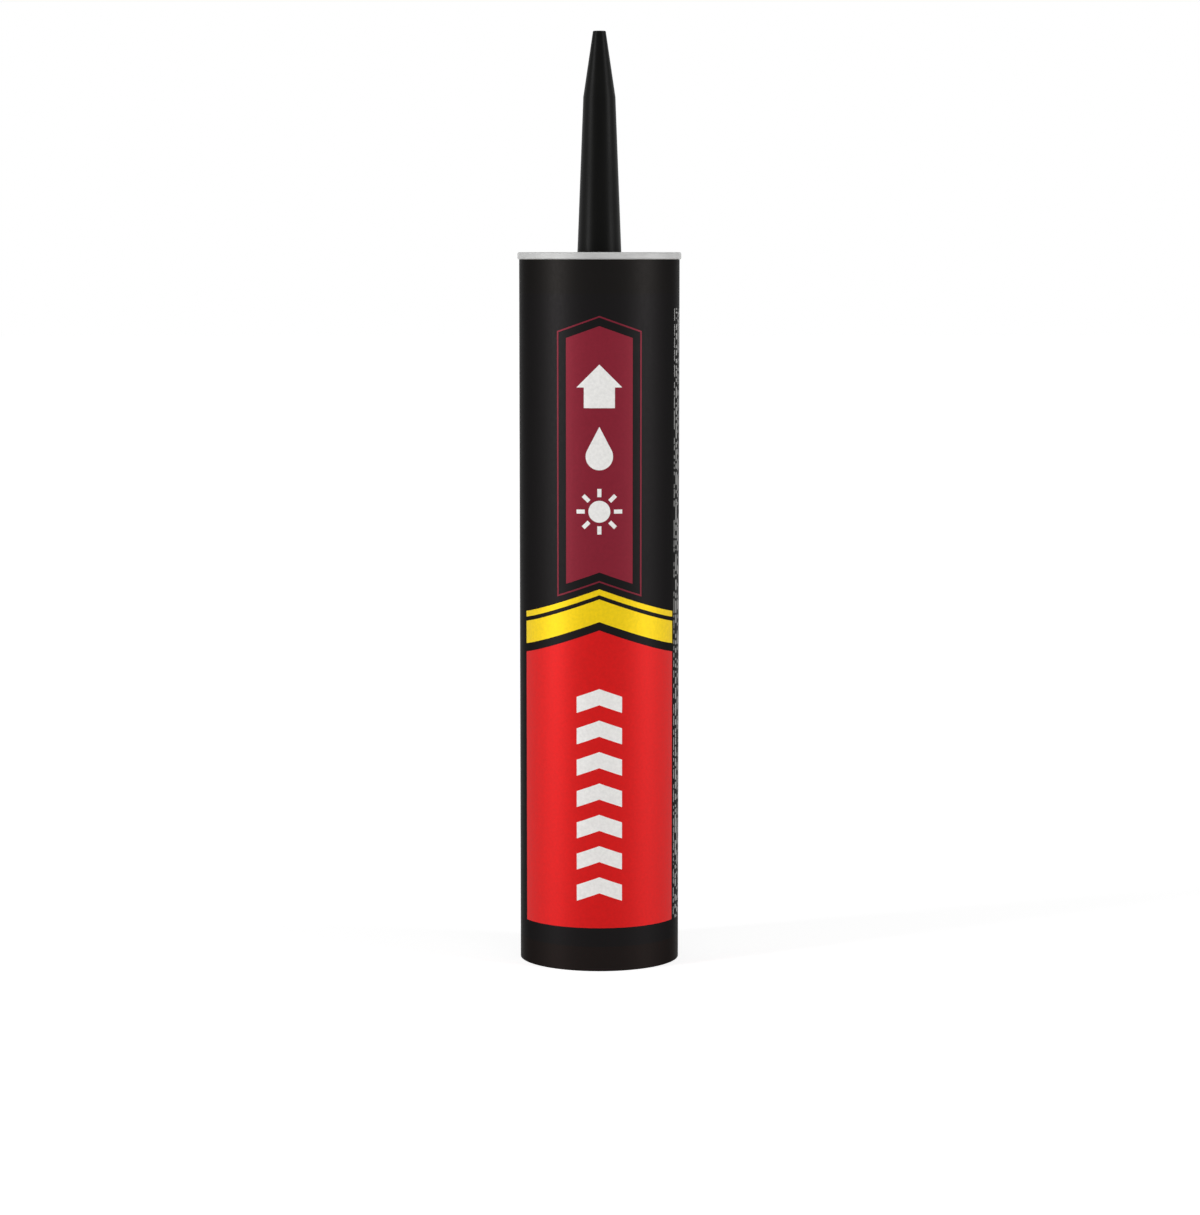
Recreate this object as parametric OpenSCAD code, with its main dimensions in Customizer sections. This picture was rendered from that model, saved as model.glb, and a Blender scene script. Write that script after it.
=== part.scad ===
// Caulk cartridge for a hand gun. A spiral-wound paperboard tube in a printed wrap is closed at the top
// by a crimped tinplate end that grips the nozzle, and at the open end by a plunger behind the sealant.
// It stands on its open end. Z runs along the axis, and the middle of the label's front faces -Y.

/* [Tube] */
// Outside diameter of the bare paperboard tube
tube_od = 49.7; // [47:0.1:54]
// Wall of the paperboard tube
tube_wall = 1.4; // [1.2:0.1:2]
// Length of the paperboard tube
tube_len = 221.9; // [216:0.1:250]

/* [Tinplate end] */
// Thickness of the tinplate
metal_t = 0.3; // [0.2:0.05:0.4]
// Inside radius of each bend in the tinplate
bend_r = 0.25; // [0.2:0.05:0.6]
// Height of the skirt crimped round the outside of the tube
skirt_h = 2.2; // [1.8:0.1:5]
// Thickness of the skirt's edge, which is rolled inwards and bites into the board
roll_d = 0.8; // [0.8:0.05:0.9]
// Depth of the panel below the top of the rim
panel_depth = 3.4; // [2.8:0.1:6]
// Number of stiffening beads in the panel
bead_count = 2; // [1:1:2]
// Radius from the axis to the crest of the inner bead
bead_at = 12.4; // [11:0.1:14]
// Spacing of the beads' crests
bead_pitch = 5.4; // [4:0.1:6]
// Outside radius of a bead's section
bead_r = 1; // [0.8:0.1:1.2]
// Height of the collar that grips the nozzle, above the panel
collar_h = 1.5; // [1.2:0.1:2.2]

/* [Nozzle] */
// Outside diameter of the nozzle level with the top of the rim
nozzle_d = 13.7; // [12:0.1:15]
// Outside diameter at the shoulder, where the taper steepens
shoulder_d = 10; // [8:0.1:11]
// Outside diameter of the closed tip
tip_d = 4; // [3.4:0.1:5]
// Height of the shoulder above the rim
shoulder_at = 47.8; // [30:0.1:55]
// Length of the nozzle above the rim
nozzle_len = 68; // [60:0.1:90]
// Wall of the nozzle
nozzle_wall = 1.4; // [1:0.1:1.8]
// Diameter of the bore behind the closed tip
tip_bore_d = 1.6; // [1:0.1:2]
// Thickness of the closed tip
tip_t = 1.6; // [1:0.1:3]
// Diameter of the flange that sits under the panel
flange_d = 30; // [24:0.5:36]
// Thickness of the flange
flange_t = 1.8; // [1.2:0.1:3]
// How far the snap ring stands out over the collar
snap_h = 0.35; // [0.2:0.05:0.5]
// Diameter of the foil that seals the base of the nozzle
seal_d = 18; // [14:0.5:23]
// Thickness of the foil
seal_t = 0.12; // [0.1:0.01:0.2]

/* [Plunger] */
// Distance from the tube's open end to the rear edge of the plunger
plunger_at = 20.5; // [8:0.5:40]
// Length of the plunger
plunger_len = 24; // [22:0.5:32]
// Wall of the plunger's skirt
plunger_wall = 1.6; // [1.2:0.1:2]
// Thickness of the plunger's crown
crown_t = 2.2; // [1.6:0.1:3]
// How far the sealing lips stand out of the skirt
lip_h = 0.4; // [0.3:0.05:0.6]
// Depth of the groove behind the front lip
groove_depth = 4.4; // [3:0.1:5]
// Number of stiffening ribs inside the skirt
rib_count = 12; // [6:1:16]
// How far each rib stands in from the skirt
rib_h = 1.2; // [0.8:0.1:1.6]
// Thickness of each rib
rib_t = 1; // [0.8:0.1:1.6]

/* [Label] */
// Thickness of the paper wrap
label_t = 0.15; // [0.1:0.05:0.2]
// Width of the overlap at the back of the wrap
lap_w = 8; // [5:0.5:14]
// Thickness of a printed field
ink_t = 0.05; // [0.04:0.01:0.06]
// Fall of the gabled edges for each millimetre away from the middle
gable_slope = 0.36; // [0.2:0.01:0.45]
// Bare gap between one field and the next
field_gap = 2.6; // [2:0.1:4]
// Width of the red field round the wrap
red_w = 56.7; // [50:0.1:60]
// Height of the red field's lower edge above the open end
red_at = 13.6; // [8:0.1:18]
// Height of the red field at its ridge
red_h = 93; // [86:0.1:96]
// Height of the wide yellow stripe
stripe_h = 7; // [4:0.1:8]
// Height of the narrow yellow stripe above it
pinstripe_h = 1.8; // [1:0.1:3]
// Width of the maroon field round the wrap
maroon_w = 21; // [18:0.1:26]
// Bare height between the maroon field's ridge and the tube's top end
maroon_top_gap = 22; // [18:0.1:27]
// Width of the thin outline round the maroon field
line_w = 0.5; // [0.3:0.05:0.8]
// Number of white chevrons on the red field
chevron_count = 7; // [3:1:8]
// Width of each chevron
chevron_w = 14; // [8:0.1:18]
// Thickness of each chevron's stroke, measured up the tube
chevron_t = 5; // [2:0.1:6]
// Spacing of the chevrons
chevron_pitch = 9.8; // [8:0.1:10]
// Height of the first chevron above the red field's lower edge
chevron_at = 8.5; // [5:0.1:12]
// Size of each pictogram on the maroon field
icon_s = 14; // [9:0.1:15]
// Spacing of the pictograms
icon_pitch = 19; // [16.5:0.1:20]

/* [Hidden] */
$fn = 96;

// Clearances between pieces
seat_gap = 0.1;      // over the end of the tube, inside the crimp
crimp_gap = 0.05;    // between the tinplate and the board or the edge of the wrap
grip_gap = 0.05;     // between the collar and the nozzle
lip_gap = 0.1;       // between the plunger's lips and the tube
fill_gap = 0.05;     // between the sealant and the tube
contact_gap = 0.3;   // between the sealant and the plunger, and left at the end of the travel
skirt_gap = 0.35;    // between the board and the plain part of the skirt, above its rolled edge

// Radii
tube_r = tube_od / 2;
tube_bore_r = tube_r - tube_wall;
label_r = tube_r + label_t;
print_r = label_r + ink_t;
skirt_r = tube_r + skirt_gap;
groove_r = skirt_r + metal_t - roll_d - crimp_gap;
chuck_r = tube_bore_r - crimp_gap;
seat_r = nozzle_d / 2 + snap_h;
collar_r = seat_r + grip_gap;
lip_r = tube_bore_r - lip_gap;
plunger_r = lip_r - lip_h;

// Levels, up from the tube's open end
rim_top = tube_len + seat_gap + metal_t;
panel_top = rim_top - panel_depth;
panel_under = panel_top - metal_t;
collar_top = panel_top + collar_h;
flange_under = panel_under - flange_t;
seal_under = flange_under - seal_t;
shoulder_z = rim_top + shoulder_at;
tip_z = rim_top + nozzle_len;
skirt_low = rim_top - skirt_h;
roll_z = skirt_low + roll_d / 2;
label_top = skirt_low - crimp_gap;
plunger_front = plunger_at + plunger_len;
red_top = red_at + red_h;
stripe_at = red_top + field_gap;
pinstripe_at = stripe_at + stripe_h + field_gap / 2;
maroon_at = pinstripe_at + pinstripe_h + 2 * field_gap;
maroon_top = tube_len - maroon_top_gap;

// Degrees of the label that an arc of w millimetres takes up
function arc_deg(w) = w / label_r * 180 / PI;

// The point at radius r and angle a about the axis
function polar(r, a) = r * [cos(a), sin(a)];

// A quarter of a bent sheet about its centre p. Quadrant 0 lies up and outwards, and the others follow it
// anticlockwise.
module bend(p, quadrant, r = bend_r) {
    translate(p)
    rotate(quadrant * 90)
    difference() {
        intersection() {
            circle(r + metal_t);
            square(r + metal_t);
        }
        circle(r);
    }
}

// A patch of thin wall outside radius r, half degrees to each side of the front and from height z0 to z1
module wall_patch(r, t, half, z0, z1) {
    reach = 2 * r;
    translate([0, 0, z0])
    linear_extrude(height = z1 - z0)
    intersection() {
        difference() {
            circle(r + t);
            circle(r);
        }
        polygon([[0, 0], polar(reach, -90 - half), polar(reach, -90), polar(reach, -90 + half)]);
    }
}

// The space between two gables, whose ridges stand over the middle of the label at heights z0 and z1
module gable_band(z0, z1) {
    reach = 2 * label_r;
    fall = gable_slope * reach;
    rotate([90, 0, 0])
    linear_extrude(height = 2 * reach, center = true)
    polygon([
        [-reach, z0 - fall], [0, z0], [reach, z0 - fall],
        [reach, z1 - fall], [0, z1], [-reach, z1 - fall]
    ]);
}

// A field w wide round the wrap, between two gables
module gabled_field(w, z0, z1, r = label_r, t = ink_t) {
    intersection() {
        wall_patch(r, t, arc_deg(w) / 2, red_at, label_top);
        gable_band(z0, z1);
    }
}

// A flat drawing laid on the printed fields, no further than front_half degrees from the middle of the front
module overprint() {
    front_half = 80;
    intersection() {
        wall_patch(print_r, ink_t, front_half, 0, label_top);
        rotate([90, 0, 0])
        linear_extrude(height = 2 * label_r)
        children();
    }
}

// Spiral-wound tube. The skirt's rolled edge presses a groove in it, and the board above that spreads out
// inside the skirt.
module paper_tube() {
    spread_r = skirt_r - seat_gap;
    color("tan")
    rotate_extrude()
    polygon([
        [tube_bore_r, 0],
        [tube_r, 0],
        [tube_r, label_top],
        [groove_r, roll_z - roll_d / 4],
        [groove_r, roll_z + roll_d / 4],
        [spread_r, tube_len - bend_r],
        [spread_r - bend_r, tube_len],
        [tube_bore_r + bend_r, tube_len],
        [tube_bore_r, tube_len - bend_r]
    ]);
}

// Printed paper wrap, glued over itself down the back, where the outer layer steps down off the inner one
module label() {
    outer_r = label_r + label_t;
    edge_a = 90 + arc_deg(lap_w) / 2;
    cut_a = 90 - arc_deg(lap_w) / 2;
    foot_w = 8 * label_t;
    foot_a = edge_a + arc_deg(foot_w);
    color([0.11, 0.105, 0.1])
    linear_extrude(height = label_top)
    difference() {
        union() {
            circle(label_r);
            intersection() {
                circle(outer_r);
                polygon([[0, 0], polar(2 * outer_r, cut_a), polar(2 * outer_r, edge_a)]);
            }
            polygon([polar(tube_r, edge_a), polar(outer_r, edge_a), polar(label_r - label_t / 2, foot_a)]);
        }
        circle(tube_r);
    }
}

module red_field() {
    color([0.8, 0.1, 0.09])
    gabled_field(red_w, 0, red_top);
}

module maroon_field() {
    color([0.5, 0.13, 0.19])
    gabled_field(maroon_w, maroon_at, maroon_top);
}

module yellow_stripes() {
    color([0.97, 0.85, 0.1])
    union() {
        gabled_field(red_w, stripe_at, stripe_at + stripe_h);
        gabled_field(red_w, pinstripe_at, pinstripe_at + pinstripe_h);
    }
}

// Thin line round the maroon field, one gap away from it
module outline() {
    inner_w = maroon_w + 2 * field_gap;
    low = maroon_at - field_gap;
    top = maroon_top + field_gap;
    color([0.45, 0.1, 0.17])
    difference() {
        gabled_field(inner_w + 2 * line_w, low - line_w, top + line_w);
        gabled_field(inner_w, low, top, label_r - ink_t, 3 * ink_t);
    }
}

module chevron() {
    half = chevron_w / 2;
    rise = half * gable_slope;
    polygon([
        [-half, 0], [0, rise], [half, 0],
        [half, chevron_t], [0, rise + chevron_t], [-half, chevron_t]
    ]);
}

// The pictograms are drawn in a square that runs from -1 to 1
module house() {
    wall = 0.68;
    foot = -0.9;
    polygon([[-1, 0], [0, 1], [1, 0], [wall, 0], [wall, foot], [-wall, foot], [-wall, 0]]);
}

module drop() {
    drop_r = 0.6;
    lift = 0.3;
    touch = acos(drop_r / (1 + lift));
    translate([0, -lift])
    union() {
        circle(drop_r);
        polygon([
            polar(drop_r, 90 - touch),
            [0, 1 + lift],
            polar(drop_r, 90 + touch),
            [0, 0]
        ]);
    }
}

module sun() {
    rays = 8;
    disc_r = 0.48;
    ray_at = 0.64;
    ray_w = 0.18;
    circle(disc_r);
    for (i = [0 : rays - 1])
        rotate(i * 360 / rays)
        translate([ray_at, -ray_w / 2])
        square([1 - ray_at, ray_w]);
}

// White chevrons up the red field, and three pictograms down the maroon one
module white_marks() {
    middle = (maroon_at + maroon_top) / 2;
    color("white")
    overprint() {
        for (i = [0 : chevron_count - 1])
            translate([0, red_at + chevron_at + i * chevron_pitch])
            chevron();
        translate([0, middle + icon_pitch])
        scale(icon_s / 2)
        house();
        translate([0, middle])
        scale(icon_s / 2)
        drop();
        translate([0, middle - icon_pitch])
        scale(icon_s / 2)
        sun();
    }
}

// Half section of the tinplate: the skirt and its rolled edge, the fold over the tube's end, the wall inside
// the tube, the beaded panel and the collar round the nozzle
module tinplate_section() {
    fold_z = rim_top - metal_t - bend_r;
    chuck_in = chuck_r - metal_t;
    panel_r = chuck_in - bend_r;
    collar_out = collar_r + metal_t;
    bead_in = bead_r - metal_t;
    bead_mid = bead_r - metal_t / 2;
    translate([skirt_r + metal_t - roll_d / 2, roll_z])
    circle(d = roll_d);
    translate([skirt_r, roll_z])
    square([metal_t, fold_z - roll_z]);
    bend([skirt_r - bend_r, fold_z], 0);
    translate([chuck_r + bend_r, rim_top - metal_t])
    square([skirt_r - chuck_r - 2 * bend_r, metal_t]);
    bend([chuck_r + bend_r, fold_z], 1);
    translate([chuck_in, panel_top + bend_r])
    square([metal_t, fold_z - panel_top - bend_r]);
    bend([panel_r, panel_top + bend_r], 3);
    difference() {
        translate([collar_out + bend_r, panel_under])
        square([panel_r - collar_out - bend_r, metal_t]);
        for (i = [0 : bead_count - 1])
            translate([bead_at + i * bead_pitch - bead_mid, panel_under - metal_t])
            square([2 * bead_mid, 3 * metal_t]);
    }
    for (i = [0 : bead_count - 1])
        translate([bead_at + i * bead_pitch, panel_under])
        difference() {
            intersection() {
                circle(bead_r);
                translate([-bead_r, 0])
                square([2 * bead_r, bead_r]);
            }
            circle(bead_in);
        }
    bend([collar_out + bend_r, panel_top + bend_r], 2);
    translate([collar_r, panel_top + bend_r])
    square([metal_t, collar_top - panel_top - bend_r]);
}

module tinplate_end() {
    color("silver")
    rotate_extrude()
    tinplate_section();
}

// Moulded nozzle, with its flange under the panel and a snap ring over the collar. Its tip is cut for use.
module nozzle() {
    lower_taper = (nozzle_d - shoulder_d) / 2 / shoulder_at;
    snap_low = collar_top + grip_gap;
    snap_top = snap_low + 2 * snap_h;
    flange_edge = 0.3;
    tip_edge = 0.1;
    function cone_r(z) = nozzle_d / 2 + (rim_top - z) * lower_taper;
    color([0.08, 0.08, 0.08])
    rotate_extrude()
    polygon([
        [cone_r(flange_under) - nozzle_wall, flange_under],
        [flange_d / 2 - flange_edge, flange_under],
        [flange_d / 2, flange_under + flange_edge],
        [flange_d / 2, panel_under],
        [seat_r, panel_under],
        [seat_r, snap_low],
        [seat_r + snap_h, snap_low],
        [seat_r + snap_h, snap_low + snap_h],
        [cone_r(snap_top), snap_top],
        [shoulder_d / 2, shoulder_z],
        [tip_d / 2, tip_z - tip_edge],
        [tip_d / 2 - tip_edge, tip_z],
        [0, tip_z],
        [0, tip_z - tip_t],
        [tip_bore_d / 2, tip_z - tip_t],
        [shoulder_d / 2 - nozzle_wall, shoulder_z]
    ]);
}

// Foil across the base of the nozzle, pierced before the first use
module inner_seal() {
    color([0.8, 0.81, 0.83])
    translate([0, 0, seal_under])
    cylinder(d = seal_d, h = seal_t);
}

// The charge of sealant, between the plunger and the foil
module sealant() {
    low = plunger_front + contact_gap;
    color([0.05, 0.05, 0.05])
    translate([0, 0, low])
    cylinder(r = tube_bore_r - fill_gap, h = seal_under - low);
}

// Cup-shaped plunger, open to the rear, with a bead at its rear edge, a thin wiping lip in front
// and ribs between the skirt and the seat of the gun's push plate
module plunger() {
    skirt_in = plunger_r - plunger_wall;
    groove_z = plunger_len - groove_depth;
    crown_r = plunger_r - plunger_wall;
    floor_r = crown_r - plunger_wall;
    floor_z = plunger_len - crown_t;
    step_z = groove_z - plunger_wall;
    dimple_r = 3;
    dimple_h = 0.6;
    color([0.93, 0.92, 0.88])
    translate([0, 0, plunger_at])
    union() {
        rotate_extrude()
        polygon([
            [skirt_in, 0],
            [plunger_r, 0],
            [lip_r, lip_h * 2],
            [lip_r, lip_h * 5],
            [plunger_r, lip_h * 7],
            [plunger_r, groove_z],
            [lip_r, groove_z + lip_h * 4],
            [lip_r, plunger_len - lip_h * 4],
            [lip_r - lip_h, plunger_len - lip_h * 4],
            [plunger_r - plunger_wall / 2, groove_z],
            [crown_r, groove_z],
            [crown_r - lip_h * 2, plunger_len],
            [0, plunger_len],
            [0, floor_z + dimple_h],
            [dimple_r, floor_z + dimple_h],
            [dimple_r, floor_z],
            [floor_r, floor_z],
            [floor_r, step_z + plunger_wall],
            [skirt_in, step_z]
        ]);
        for (i = [0 : rib_count - 1])
            rotate([0, 0, i * 360 / rib_count])
            translate([skirt_in - rib_h, -rib_t / 2, plunger_wall])
            cube([rib_h + plunger_wall / 2, rib_t, step_z]);
    }
}

paper_tube();
label();
red_field();
maroon_field();
yellow_stripes();
white_marks();
outline();
tinplate_end();
nozzle();
inner_seal();
sealant();
plunger();
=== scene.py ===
import math

import bpy
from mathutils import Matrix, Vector


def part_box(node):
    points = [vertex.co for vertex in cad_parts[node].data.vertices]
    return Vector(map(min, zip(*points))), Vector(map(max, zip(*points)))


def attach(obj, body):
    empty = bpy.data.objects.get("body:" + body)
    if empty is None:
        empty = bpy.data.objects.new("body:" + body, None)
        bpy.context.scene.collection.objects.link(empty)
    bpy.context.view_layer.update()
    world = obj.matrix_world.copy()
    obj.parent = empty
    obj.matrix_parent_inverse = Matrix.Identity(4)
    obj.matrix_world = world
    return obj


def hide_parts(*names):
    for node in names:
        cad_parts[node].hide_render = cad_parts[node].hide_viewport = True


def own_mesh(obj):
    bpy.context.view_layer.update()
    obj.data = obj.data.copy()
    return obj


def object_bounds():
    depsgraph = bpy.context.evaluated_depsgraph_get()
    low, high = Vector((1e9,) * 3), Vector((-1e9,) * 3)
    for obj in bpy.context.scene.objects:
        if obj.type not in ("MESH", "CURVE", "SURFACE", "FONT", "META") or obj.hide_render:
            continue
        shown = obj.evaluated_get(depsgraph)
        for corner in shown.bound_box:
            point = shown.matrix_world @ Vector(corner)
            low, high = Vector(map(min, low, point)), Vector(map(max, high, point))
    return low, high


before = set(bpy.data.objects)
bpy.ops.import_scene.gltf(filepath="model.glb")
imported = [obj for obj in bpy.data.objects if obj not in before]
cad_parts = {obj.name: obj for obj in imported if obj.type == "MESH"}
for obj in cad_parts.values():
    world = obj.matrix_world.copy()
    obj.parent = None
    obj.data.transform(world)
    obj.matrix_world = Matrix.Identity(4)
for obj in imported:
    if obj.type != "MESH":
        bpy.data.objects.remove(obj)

cad_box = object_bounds()

MM = 0.001

# Label. Colours here and below are linear, as they look in plain light
LABEL_R = 25.0 * MM            # outside of the paper wrap
INKS = {
    "red": (0.66, 0.007, 0.007),
    "maroon": (0.218, 0.012, 0.027),
    "line": (0.175, 0.012, 0.026),
    "yellow": (0.88, 0.62, 0.005),
    "white": (0.86, 0.85, 0.83),
}
INK_METALLIC = 0.35            # gives the coloured inks a sheen of their own colour
INK_GRAZING = 0.5              # strength of the inks' sheen at grazing angles, from 0 to 1
GROUND_BLACK = (0.0100, 0.0093, 0.0095)
# Tones of the unvarnished ends: the lower end's is lighter, with painted bounce light from the floor
BARE_BLACK_AND_PAINTED_BOUNCE = {"foot": (0.0120, 0.0094, 0.0088), "head": (0.0100, 0.0092, 0.0088)}
BARE_ENDS = (7.7 * MM, 209.7 * MM)   # the varnish stops here, short of either end of the wrap
VARNISH_EDGE = 0.3 * MM

# Rows of dashes that stand for the small print
DASHES_ACROSS = (29.7 * MM, 44.0 * MM)   # round the wrap, from the middle of its front
DASHES_UP = (13.6 * MM, 205.0 * MM)
DASHES_EDGE = 0.1 * MM
DASH = 1.6 * MM                # about the length of a dash
DASH_ROW = 2.2 * MM            # spacing of the rows
DASH_FILL = (0.25, 0.75)       # part of its row that a dash takes
DASH_SHIFT = 1.37              # dashes that each row is shifted by, so that no two rows match
DASH_STEP = (0.44, 0.48)       # noise below these is a gap, and above them a dash
DASH_TONE = 0.45               # of the white ink, because the strokes of small print leave gaps

# Darkest and lightest tones of the other materials
TINPLATE_TONES = (0.485, 0.485, 0.48), (0.54, 0.54, 0.535)
NOZZLE_TONES = (0.0022, 0.0022, 0.0020), (0.0030, 0.0030, 0.0027)
KRAFT_TONES = (0.24, 0.145, 0.075), (0.40, 0.265, 0.155)
LINER_TONES = (0.60, 0.61, 0.62), (0.74, 0.75, 0.76)
PLUNGER_TONES = (0.70, 0.69, 0.63), (0.77, 0.76, 0.70)
FOIL_TONES = (0.74, 0.75, 0.77), (0.82, 0.83, 0.85)
SEALANT_TONES = (0.006, 0.006, 0.006), (0.010, 0.010, 0.010)

SCUFF_TONE = (0.42, 0.42, 0.415)
SCUFF_STEP = (0.60, 0.72)      # noise above these is a scuff on the tinplate
SCUFF_SHOWS = 0.35             # how much a scuff hides the tone beneath, from 0 to 1

# Board of the tube, and the foil that lines its bore
BORE_R = 23.45 * MM
BOARD_PLY = 0.35 * MM          # thickness of one ply
PLY_WOBBLE = 0.12 * MM
GLUE_TONE = (0.13, 0.075, 0.038)
GLUE_LINE = (0.42, 0.58)       # part of a ply's thickness that shows as a line of glue
GLUE_SHOWS = 0.55
LINER_EDGE = (0.03 * MM, 0.08 * MM)   # depths under the bore between which foil gives way to board
LINER_PITCH = 95 * MM          # rise of the foil's lap for each turn round the bore
LAP_TONE = (0.20, 0.20, 0.20)
LAP_LINE = (0.498, 0.502)      # part of a turn that the lap takes
LAP_EDGE = 0.0015
LAP_SHOWS = 0.6

# Sealant
CHARGE_SIDES = 96
ROUNDING = 0.3 * MM            # at the rim of each end

# Camera, at the photograph's view
CAMERA_AT = Vector((0.2, -1057.8, 222.34)) * MM
CAMERA_DROP = 6.005            # degrees below the horizontal
CAMERA_LENS = 100.13           # mm
CAMERA_SENSOR = 36             # mm, along the photograph's longer side

# Studio. A level is the light that a white surface facing the lamp gets from it
SOFTBOXES = (                  # name, azimuth and elevation in degrees, level, width in metres
    ("left_box", -63, 8, 0.88, 0.40),
    ("right_box", 68, 8, 0.74, 0.60),
)
BOX_HEIGHT = 1.6
BOX_DISTANCE = 1.8
CEILINGS = (                   # name, azimuth and elevation in degrees, level, spread in degrees
    ("front_ceiling", 10, 52, 0.10, 50),
    ("back_ceiling", 195, 75, 0.10, 40),
)
SUN_DISTANCE = 3.0             # changes nothing in the light, and keeps the lamp clear of the object
AMBIENT = 0.04                 # level of the light from all round
FLOOR_HALF = 8.0
FLOOR_Z = -0.05 * MM           # just under the object, so that the two faces don't lie in one plane
FLOOR_LIT = 0.60               # how much of the lamps' light the floor returns
FLOOR_GLOW = (0.76, 0.88)      # near the object and far from it, where the boxes light the floor less
FLOOR_GLOW_SPAN = (0.2, 1.6)   # metres from the object


# Helpers

class Tree:
    """A node tree being built, with short calls for the nodes that it needs."""

    def __init__(self, tree):
        self.tree = tree

    def node(self, kind, inputs=None, **settings):
        """A new node. Its inputs go by name or number, and each takes a value or another node's output."""
        made = self.tree.nodes.new(kind)
        for key, value in settings.items():
            setattr(made, key, value)
        for key, value in (inputs or {}).items():
            self.feed(made.inputs[key], value)
        return made

    def feed(self, socket, value):
        if isinstance(value, bpy.types.NodeSocket):
            self.tree.links.new(value, socket)
        else:
            socket.default_value = value

    def place(self):
        """Position on the object, in metres."""
        return self.node("ShaderNodeTexCoord").outputs["Object"]

    def math(self, operation, *values):
        made = self.node("ShaderNodeMath", dict(enumerate(values)), operation=operation)
        return made.outputs[0]

    def length(self, vector):
        return self.node("ShaderNodeVectorMath", {0: vector}, operation="LENGTH").outputs["Value"]

    def spread(self, value, low, high, start=0.3, end=0.7):
        """Takes a value that runs from start to end and spreads it from low to high."""
        made = self.node("ShaderNodeMapRange", {"Value": value, "From Min": start, "From Max": end,
                                                "To Min": low, "To Max": high})
        return made.outputs["Result"]

    def within(self, value, low, high, soft):
        """1 where the value lies from low to high, and 0 outside, over an edge soft wide."""
        up = self.spread(value, 0, 1, low - soft / 2, low + soft / 2)
        down = self.spread(value, 1, 0, high - soft / 2, high + soft / 2)
        return self.math("MULTIPLY", up, down)


class Shader(Tree):
    """A Principled material being built."""

    def __init__(self, name):
        self.material = bpy.data.materials.new(name)
        self.material.use_nodes = True
        super().__init__(self.material.node_tree)
        self.surface = self.tree.nodes["Principled BSDF"]

    def set(self, **inputs):
        """Feeds the surface's inputs, by short names."""
        names = {"colour": "Base Color", "specular": "Specular IOR Level", "specular_tint": "Specular Tint",
                 "subsurface": "Subsurface Weight", "subsurface_radius": "Subsurface Radius",
                 "subsurface_scale": "Subsurface Scale"}
        for key, value in inputs.items():
            self.feed(self.surface.inputs[names.get(key, key.capitalize())], value)

    def noise(self, size, detail=3.0, stretch=(1, 1, 1), place=None, roughness=0.5):
        """Noise whose features are about size metres across."""
        scaled = self.node("ShaderNodeVectorMath", {0: place or self.place(), 1: stretch},
                           operation="MULTIPLY")
        inputs = {"Vector": scaled.outputs[0], "Scale": 1 / size, "Detail": detail, "Roughness": roughness}
        return self.node("ShaderNodeTexNoise", inputs).outputs["Fac"]

    def mix(self, factor, first, second):
        """The first colour where the factor is 0, and the second where it is 1."""
        made = self.node("ShaderNodeMix", {0: factor, 6: (*first, 1) if isinstance(first, tuple) else first,
                                           7: (*second, 1) if isinstance(second, tuple) else second},
                         data_type="RGBA")
        return made.outputs[2]

    def tones(self, value, pair):
        """A colour that follows noise from the pair's first colour to its second."""
        return self.mix(self.spread(value, 0, 1), *pair)

    def bump(self, height, depth, under=None):
        """Relief of a height map whose full range is depth metres."""
        made = self.node("ShaderNodeBump", {"Height": height, "Distance": depth, "Strength": 1.0})
        if under is not None:
            self.feed(made.inputs["Normal"], under)
        return made.outputs["Normal"]

    def cylinder(self):
        """Turns round the axis from the front, distance from the axis and height, the last two in metres."""
        x, y, z = self.node("ShaderNodeSeparateXYZ", {0: self.place()}).outputs
        angle = self.math("ARCTAN2", x, self.math("MULTIPLY", y, -1.0))
        flat = self.node("ShaderNodeCombineXYZ", {"X": x, "Y": y})
        return self.math("DIVIDE", angle, 2 * math.pi), self.length(flat.outputs[0]), z

    def round_wrap(self, turns):
        """Distance round the wrap, in metres."""
        return self.math("MULTIPLY", turns, 2 * math.pi * LABEL_R)

    def unrolled(self):
        """The surface laid flat: distance round the wrap, distance from the axis and height, in metres."""
        turns, radius, z = self.cylinder()
        return self.node("ShaderNodeCombineXYZ", {"X": self.round_wrap(turns), "Y": radius, "Z": z}).outputs[0]


def dimmed(colour, factor):
    return tuple(c * factor for c in colour)


def add_object(name, data):
    """A new object in the scene."""
    made = bpy.data.objects.new(name, data)
    bpy.context.scene.collection.objects.link(made)
    return made


# Materials

def printed_paper(name, colour, rough=0.50, specular=0.40):
    """Coated paper under ink: print mottle, fine fibre, and the slow waves of the board beneath."""
    s = Shader(name)
    mottle = s.noise(0.9 * MM, detail=5)
    fibre = s.noise(0.16 * MM, detail=2)
    waves = s.noise(9 * MM, detail=2, stretch=(1, 1, 0.35))
    relief = s.bump(waves, 0.05 * MM)
    relief = s.bump(fibre, 0.004 * MM, relief)
    s.set(colour=s.tones(mottle, (dimmed(colour, 0.94), dimmed(colour, 1.06))),
          roughness=s.spread(mottle, rough - 0.03, rough + 0.04), specular=specular, metallic=INK_METALLIC,
          specular_tint=(*[INK_GRAZING] * 3, 1), normal=relief)
    return s


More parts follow.
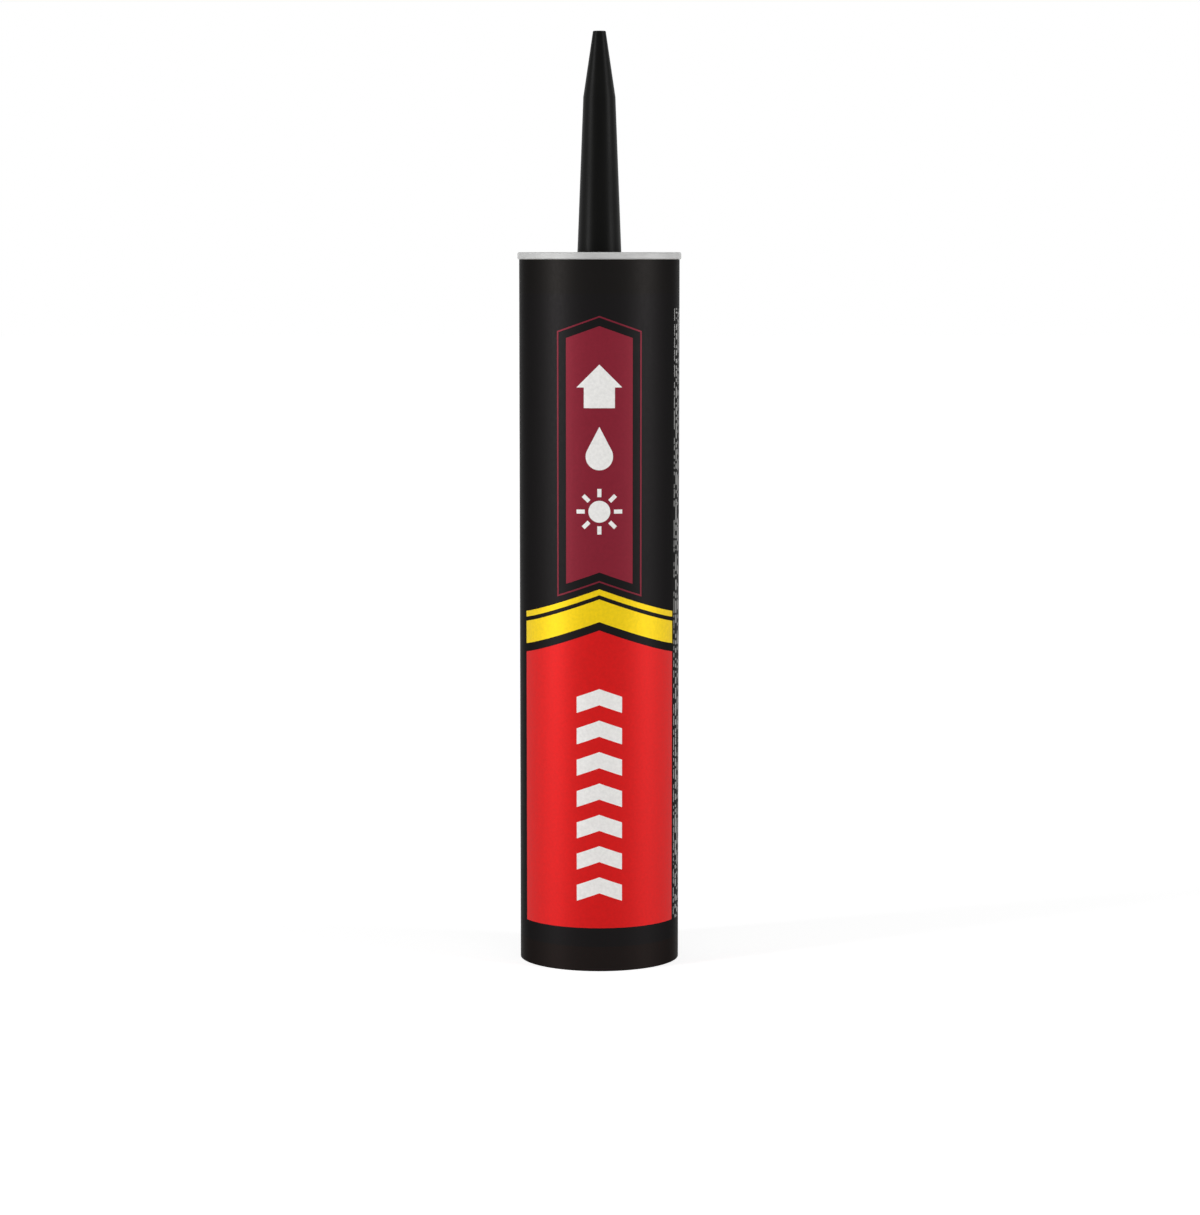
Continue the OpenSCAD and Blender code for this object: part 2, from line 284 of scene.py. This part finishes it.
def small_print(s, across, height):
    """1 on the rows of dashes, and 0 between them."""
    row = s.math("DIVIDE", across, DASH_ROW)
    start = s.math("MULTIPLY", s.math("FLOOR", row), DASH_SHIFT * DASH)
    place = s.node("ShaderNodeCombineXYZ", {"X": start, "Z": height}).outputs[0]
    dash = s.spread(s.noise(DASH, detail=0, place=place), 0, 1, *DASH_STEP)
    line = s.within(s.math("FRACT", row), *DASH_FILL, 0.1)
    column = s.math("MULTIPLY", s.within(across, *DASHES_ACROSS, DASHES_EDGE),
                    s.within(height, *DASHES_UP, DASHES_EDGE))
    return s.math("MULTIPLY", s.math("MULTIPLY", dash, line), column)


def label_black():
    """The wrap's black ground, whose tone is all sheen, with dashes of white ink over it.

    The ends of the wrap are left unvarnished, so their tone is a little different, and the lower end is
    lighter still with painted bounce light from the floor.
    """
    s = printed_paper("label_black", GROUND_BLACK, rough=0.46, specular=0.24)
    turns, _, height = s.cylinder()
    # The unvarnished ends, lighter towards the lower end with painted bounce light from the floor
    bare_and_painted_bounce = s.mix(s.spread(height, 0, 1, *BARE_ENDS), BARE_BLACK_AND_PAINTED_BOUNCE["foot"], BARE_BLACK_AND_PAINTED_BOUNCE["head"])
    varnished = s.within(height, *BARE_ENDS, VARNISH_EDGE)
    ground = s.mix(varnished, bare_and_painted_bounce, GROUND_BLACK)
    dashes = small_print(s, s.round_wrap(turns), height)
    s.set(colour=s.mix(dashes, ground, dimmed(INKS["white"], DASH_TONE)),
          metallic=s.math("SUBTRACT", 1.0, dashes))
    return s.material


def tinplate():
    """Satin tinplate: fine marks drawn round it by the seaming rolls, and a few handling scuffs."""
    s = Shader("tinplate")
    drawn = s.noise(0.30 * MM, detail=4, stretch=(0.015, 1, 1), place=s.unrolled())
    cloud = s.noise(6 * MM, detail=3)
    marks = s.noise(0.8 * MM, detail=5, stretch=(0.25, 1, 1), place=s.unrolled())
    scuff = s.spread(marks, 0, 1, *SCUFF_STEP)
    s.set(colour=s.mix(s.math("MULTIPLY", scuff, SCUFF_SHOWS), s.tones(cloud, TINPLATE_TONES), SCUFF_TONE),
          roughness=s.math("ADD", s.spread(drawn, 0.60, 0.70), s.math("MULTIPLY", scuff, 0.10)),
          metallic=0.4, normal=s.bump(drawn, 0.004 * MM))
    return s.material


def black_plastic():
    """Moulded polyethylene: a low sheen that varies a little, over faint flow marks along the nozzle."""
    s = Shader("nozzle_black")
    flow = s.noise(3 * MM, detail=3, stretch=(1, 1, 0.12))
    grain = s.noise(0.25 * MM, detail=2)
    relief = s.bump(flow, 0.010 * MM)
    s.set(colour=s.tones(flow, NOZZLE_TONES), roughness=s.spread(flow, 0.36, 0.44), specular=0.06,
          normal=s.bump(grain, 0.0010 * MM, relief))
    return s.material


def kraft_board():
    """Spiral-wound board: kraft plies in the cut end, fibres on its faces, and a foil lining on the bore."""
    s = Shader("paperboard")
    turns, radius, z = s.cylinder()
    wobble = s.math("MULTIPLY", s.noise(3 * MM, detail=2), PLY_WOBBLE)
    ply = s.math("FRACT", s.math("DIVIDE", s.math("ADD", radius, wobble), BOARD_PLY))
    glue = s.within(ply, *GLUE_LINE, 0.1)
    fibre = s.noise(0.45 * MM, detail=6, stretch=(1, 1, 0.4), roughness=0.6)
    kraft = s.mix(s.math("MULTIPLY", glue, GLUE_SHOWS), s.tones(fibre, KRAFT_TONES), GLUE_TONE)

    wound = s.math("FRACT", s.math("ADD", turns, s.math("DIVIDE", z, LINER_PITCH)))
    lap = s.within(wound, *LAP_LINE, LAP_EDGE)
    crinkle = s.noise(2.5 * MM, detail=4, stretch=(1, 1, 0.5))
    liner = s.mix(s.math("MULTIPLY", lap, LAP_SHOWS), s.tones(crinkle, LINER_TONES), LAP_TONE)

    lined = s.spread(radius, 1, 0, BORE_R + LINER_EDGE[0], BORE_R + LINER_EDGE[1])
    s.set(colour=s.mix(lined, kraft, liner), metallic=s.math("MULTIPLY", lined, 0.85),
          roughness=s.spread(lined, 0.88, 0.38, 0, 1),
          normal=s.bump(crinkle, 0.02 * MM, s.bump(fibre, 0.02 * MM)))
    return s.material


def natural_plastic():
    """Uncoloured polyethylene, cloudy and a little translucent."""
    s = Shader("plunger_natural")
    cloud = s.noise(4 * MM, detail=3)
    grain = s.noise(0.3 * MM, detail=2)
    s.set(colour=s.tones(cloud, PLUNGER_TONES), roughness=s.spread(cloud, 0.36, 0.46), subsurface=0.15,
          subsurface_radius=(1.0, 0.8, 0.6), subsurface_scale=1.5 * MM, normal=s.bump(grain, 0.003 * MM))
    return s.material


def foil():
    """Bright foil, slightly crinkled."""
    s = Shader("foil")
    crinkle = s.noise(1.2 * MM, detail=4)
    s.set(colour=s.tones(crinkle, FOIL_TONES), metallic=1.0, roughness=s.spread(crinkle, 0.2, 0.35),
          normal=s.bump(crinkle, 0.03 * MM))
    return s.material


def sealant_paste():
    """Black paste with a wet gloss."""
    s = Shader("sealant_black")
    swirl = s.noise(6 * MM, detail=2)
    s.set(colour=s.tones(swirl, SEALANT_TONES), roughness=s.spread(swirl, 0.18, 0.28),
          normal=s.bump(swirl, 0.2 * MM))
    return s.material


def dress(node, material):
    """Gives a CAD node its material."""
    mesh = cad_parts[node].data
    if not mesh.materials:
        mesh.materials.append(material)
    for i in range(len(mesh.materials)):
        mesh.materials[i] = material


dress("label", label_black())
for node, ink in (("red_field", "red"), ("maroon_field", "maroon"), ("outline", "line"),
                  ("yellow_stripes", "yellow"), ("white_marks", "white")):
    dress(node, printed_paper("print_" + ink, INKS[ink]).material)
dress("tinplate_end", tinplate())
dress("nozzle", black_plastic())
dress("paper_tube", kraft_board())
dress("inner_seal", foil())
dress("plunger", natural_plastic())


# The sealant, as a turned piece of its own

def turned_mesh(name, profile, sides):
    """A closed mesh turned round the axis. The profile runs up from a point on the axis to another."""
    points = [(0, 0, profile[0][1])]
    for r, z in profile[1:-1]:
        points += [(r * math.cos(2 * math.pi * i / sides), r * math.sin(2 * math.pi * i / sides), z)
                   for i in range(sides)]
    points.append((0, 0, profile[-1][1]))
    last = len(points) - 1
    faces = [(0, 1 + (i + 1) % sides, 1 + i) for i in range(sides)]
    for ring in range(len(profile) - 3):
        first = 1 + ring * sides
        for i in range(sides):
            j = (i + 1) % sides
            faces.append((first + i, first + j, first + sides + j, first + sides + i))
    faces += [(last, last - sides + i, last - sides + (i + 1) % sides) for i in range(sides)]
    mesh = bpy.data.meshes.new(name)
    mesh.from_pydata(points, [], faces)
    mesh.shade_smooth()
    return mesh


def sealant_charge():
    """The sealant as a turned piece that rides on the cartridge, in place of the CAD node."""
    low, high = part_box("sealant")
    radius = high.x
    profile = [(0, low.z), (radius - ROUNDING, low.z), (radius, low.z + ROUNDING),
               (radius, high.z - ROUNDING), (radius - ROUNDING, high.z), (0, high.z)]
    mesh = turned_mesh("sealant_charge", profile, CHARGE_SIDES)
    mesh.materials.append(sealant_paste())
    charge = add_object("sealant_charge", mesh)
    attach(charge, "cartridge")
    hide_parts("sealant")
    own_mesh(charge)


sealant_charge()


# Studio

def set_camera():
    data = bpy.data.cameras.new("camera")
    data.sensor_fit = "AUTO"
    data.sensor_width = CAMERA_SENSOR
    data.lens = CAMERA_LENS
    camera = add_object("camera", data)
    camera.location = CAMERA_AT
    camera.rotation_euler = (math.radians(90 - CAMERA_DROP), 0, 0)
    bpy.context.scene.camera = camera


def towards(azimuth, elevation):
    """Unit vector from the object. Azimuth is from the camera's side, towards its right."""
    a, e = math.radians(azimuth), math.radians(elevation)
    return Vector((math.sin(a) * math.cos(e), -math.cos(a) * math.cos(e), math.sin(e)))


def add_lamp(name, kind, azimuth, elevation, distance):
    """A lamp that faces the middle of the object."""
    data = bpy.data.lights.new(name, kind)
    lamp = add_object(name, data)
    away = towards(azimuth, elevation)
    lamp.location = Vector((0, 0, cad_box[1][2] / 2)) + away * distance
    lamp.rotation_euler = (-away).to_track_quat("-Z", "Y").to_euler()
    return data


def softbox(name, azimuth, elevation, level, width):
    """An area lamp that lights a white surface facing it to the given level."""
    data = add_lamp(name, "AREA", azimuth, elevation, BOX_DISTANCE)
    data.shape = "RECTANGLE"
    data.size = width
    data.size_y = BOX_HEIGHT
    data.energy = level * (math.pi * BOX_DISTANCE) ** 2


def soft_sun(name, azimuth, elevation, level, spread):
    """Light from one side of a high ceiling, the same all over the floor."""
    data = add_lamp(name, "SUN", azimuth, elevation, SUN_DISTANCE)
    data.energy = level * math.pi
    data.angle = math.radians(spread)


def seen_or_reflected(t):
    """1 for rays from the camera and for rays reflected or refracted by a surface, and 0 for other light."""
    path = t.node("ShaderNodeLightPath").outputs
    either = t.math("MAXIMUM", path["Is Camera Ray"], path["Is Glossy Ray"])
    return t.math("MAXIMUM", either, path["Is Transmission Ray"])


def white_world():
    """Weak light from all round, and white where the camera or a reflection looks past the floor."""
    world = bpy.data.worlds.new("world")
    bpy.context.scene.world = world
    world.use_nodes = True
    t = Tree(world.node_tree)
    background = t.tree.nodes["Background"]
    t.feed(background.inputs["Strength"], t.spread(seen_or_reflected(t), AMBIENT, 1.0, 0, 1))
    t.feed(background.inputs["Color"], (1, 1, 1, 1))


def floor_white():
    """Matt white for the lamps' light, with a glow that only the camera and reflections see.

    It is clear from below, so that the object's underside can be looked at.
    """
    material = bpy.data.materials.new("floor")
    material.use_nodes = True
    t = Tree(material.node_tree)
    t.tree.nodes.remove(t.tree.nodes["Principled BSDF"])
    level = t.spread(t.length(t.place()), *FLOOR_GLOW, *FLOOR_GLOW_SPAN)
    lit = t.node("ShaderNodeBsdfDiffuse", {"Color": (*[FLOOR_LIT] * 3, 1)}).outputs[0]
    glow = t.node("ShaderNodeEmission", {"Strength": level}).outputs[0]
    clear = t.node("ShaderNodeBsdfTransparent").outputs[0]
    from_below = t.node("ShaderNodeNewGeometry").outputs["Backfacing"]
    above = t.node("ShaderNodeAddShader", {0: lit, 1: glow}).outputs[0]
    seen = t.node("ShaderNodeMixShader", {0: from_below, 1: above, 2: clear}).outputs[0]
    whole = t.node("ShaderNodeMixShader", {0: seen_or_reflected(t), 1: lit, 2: seen}).outputs[0]
    t.feed(t.tree.nodes["Material Output"].inputs["Surface"], whole)
    return material


def pale_floor():
    """A wide floor that looks white and keeps the object's shadow."""
    mesh = bpy.data.meshes.new("floor")
    corners = ((-1, -1), (1, -1), (1, 1), (-1, 1))
    mesh.from_pydata([(x * FLOOR_HALF, y * FLOOR_HALF, FLOOR_Z) for x, y in corners], [], [(0, 1, 2, 3)])
    floor = add_object("floor", mesh)
    mesh.materials.append(floor_white())


set_camera()
white_world()
pale_floor()
for box in SOFTBOXES:
    softbox(*box)
for ceiling in CEILINGS:
    soft_sun(*ceiling)
bpy.context.scene.view_settings.view_transform = "Standard"
